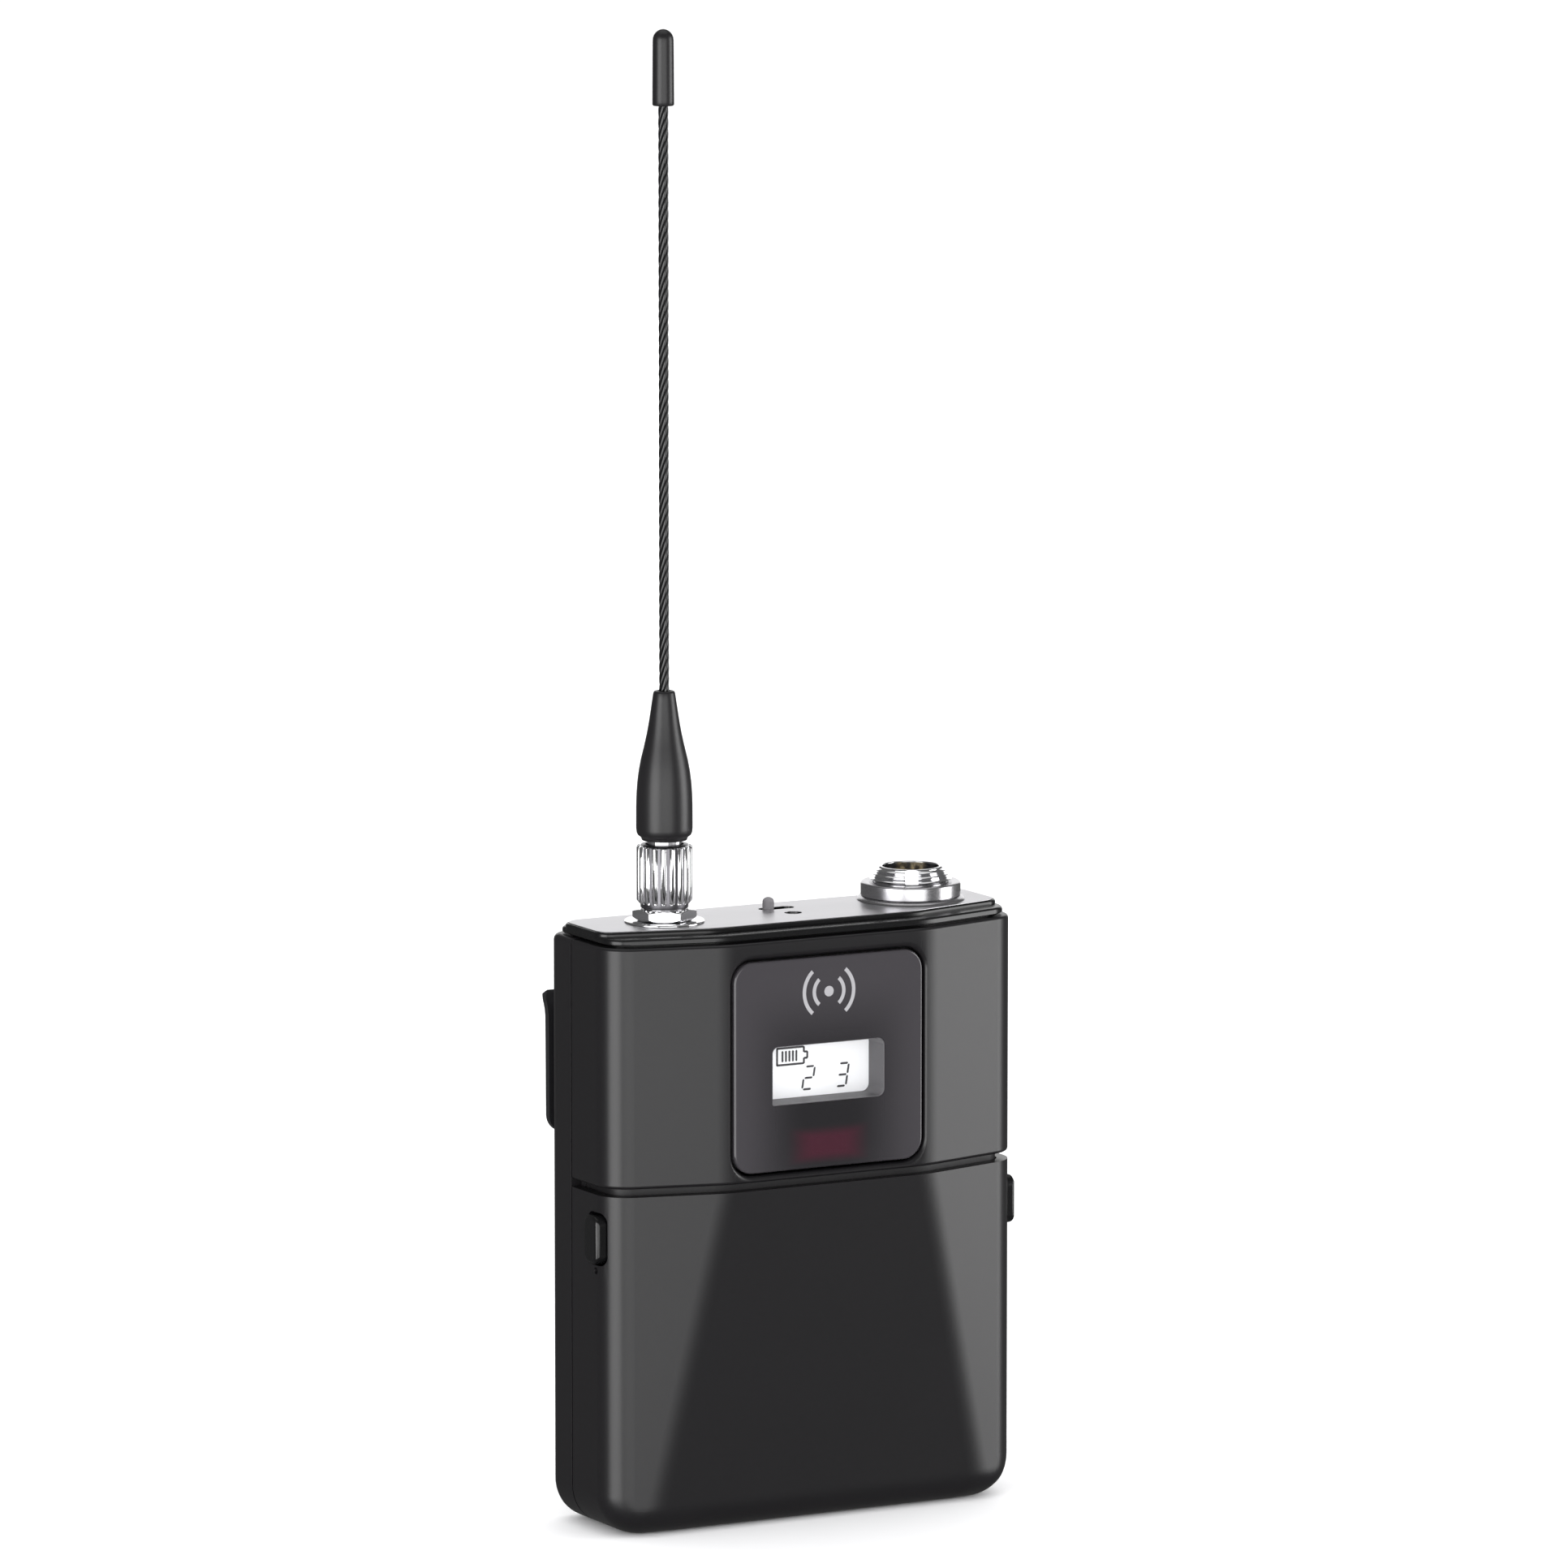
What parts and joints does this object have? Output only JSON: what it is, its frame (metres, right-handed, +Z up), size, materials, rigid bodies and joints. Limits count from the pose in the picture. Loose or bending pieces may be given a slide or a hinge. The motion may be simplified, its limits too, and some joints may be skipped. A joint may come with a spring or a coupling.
{
  "type": "wireless bodypack transmitter",
  "caption": "Belt-worn radio microphone transmitter: faceted case with hinged battery door, display window, upright whip antenna, threaded input socket, power slide and sprung belt clip.",
  "frame": {"origin": "on the bottom face, in the middle of the case's width, 11.5 mm behind the front facet", "axes": "+Z up along the antenna, -Y out of the front with the display, +X to the right seen from the rear clip's opposite side, that is to the right when facing the display"},
  "size_m": [0.068, 0.0288, 0.2124],
  "materials": {
    "coated_metal": "fine satin charcoal coating",
    "black_plastic": "semi-gloss moulded",
    "satin_plate": "satin",
    "smoked_panel": "smoked, polished",
    "clear_pane": "clear",
    "display_glass": "pale, satin",
    "dark_red": "dark red, polished",
    "grey_plastic": "moulded",
    "rubber_black": "satin",
    "chrome_plate": "bright",
    "satin_nickel": "satin",
    "gold_contact": "plated",
    "steel": "plain",
    "spring_steel": "black oxide",
    "board_green": "solder mask",
    "cell_sleeve": "printed sleeve without lettering"
  },
  "bodies": {
    "case": {"rear_shell": "coated_metal", "front_cover": "coated_metal", "top_cap": "black_plastic", "top_plate": "satin_plate", "door_hinge_pin": "steel", "display_window": "smoked_panel", "display_pane": "clear_pane", "display_module": "display_glass", "display_carrier": "grey_plastic", "ir_lens": "dark_red", "button_board": "board_green", "switch_body": "black_plastic", "power_light": "clear_pane", "main_board": "board_green", "shield_can": "steel", "signal_chip": "black_plastic", "battery_tray": "black_plastic", "cell_lower": "cell_sleeve", "cell_upper": "cell_sleeve", "contact_spring_lower": "steel", "contact_spring_upper": "steel", "contact_plate_lower": "steel", "contact_plate_upper": "steel", "antenna_jack": "gold_contact", "antenna_washer": "chrome_plate", "antenna_hex_nut": "chrome_plate", "input_barrel": "chrome_plate", "input_ring_nut": "satin_nickel", "input_washer": "satin_nickel", "input_insulator": "black_plastic", "input_pin_1": "gold_contact", "input_pin_2": "gold_contact", "input_pin_3": "gold_contact", "input_pin_4": "gold_contact", "clip_root": "spring_steel", "clip_screw_1": "steel", "clip_screw_2": "steel", "case_screw_1": "steel", "case_screw_2": "steel", "case_screw_3": "steel", "case_screw_4": "steel", "back_label": "satin_plate"},
    "door": {"battery_door": "coated_metal"},
    "left_latch": {"latch_left": "black_plastic"},
    "right_latch": {"latch_right": "black_plastic"},
    "menu_key": {"menu_button": "grey_plastic"},
    "enter_key": {"enter_button": "grey_plastic"},
    "power_knob": {"switch_knob": "grey_plastic"},
    "antenna": {"antenna_ferrule": "gold_contact", "antenna_boot": "rubber_black", "antenna_whip": "rubber_black", "antenna_tip": "rubber_black"},
    "antenna_nut": {"coupling_nut": "chrome_plate"},
    "clip": {"clip_arm": "spring_steel"}
  },
  "joints": [
    {"name": "door_hinge", "type": "hinge", "parent": "case", "child": "door", "pos_m": [0, 0.002, 0.002], "axis": [1, 0, 0], "range_deg": [0, 95]},
    {"name": "left_latch_press", "type": "slide", "parent": "door", "child": "left_latch", "axis": [1, 0, 0], "range_m": [0, 0.001], "stiffness_N_per_m": 900, "springref_m": -0.001},
    {"name": "right_latch_press", "type": "slide", "parent": "door", "child": "right_latch", "axis": [-1, 0, 0], "range_m": [0, 0.001], "stiffness_N_per_m": 900, "springref_m": -0.001},
    {"name": "menu_press", "type": "slide", "parent": "case", "child": "menu_key", "axis": [0, 1, 0], "range_m": [0, 0.0006], "stiffness_N_per_m": 1200, "springref_m": -0.0006},
    {"name": "enter_press", "type": "slide", "parent": "case", "child": "enter_key", "axis": [0, 1, 0], "range_m": [0, 0.0006], "stiffness_N_per_m": 1200, "springref_m": -0.0006},
    {"name": "power_slide", "type": "slide", "parent": "case", "child": "power_knob", "axis": [1, 0, 0], "range_m": [0, 0.0026]},
    {"name": "antenna_lift", "type": "slide", "parent": "case", "child": "antenna", "axis": [0, 0, 1], "range_m": [0, 0.0035]},
    {"name": "nut_turn", "type": "hinge", "parent": "antenna", "child": "antenna_nut", "pos_m": [-0.0196, 0.0012, 0.093], "axis": [0, 0, 1], "range_deg": [0, 1800]},
    {"name": "clip_flex", "type": "hinge", "parent": "case", "child": "clip", "pos_m": [0, 0.0121, 0.036], "axis": [-1, 0, 0], "range_deg": [0, 12], "stiffness_Nm_per_rad": 1.5, "springref_deg": -2.86}
  ],
  "couplings": [
    {"joint": "nut_turn", "follows": "antenna_lift", "rad_per_m": 8904.7}
  ]
}
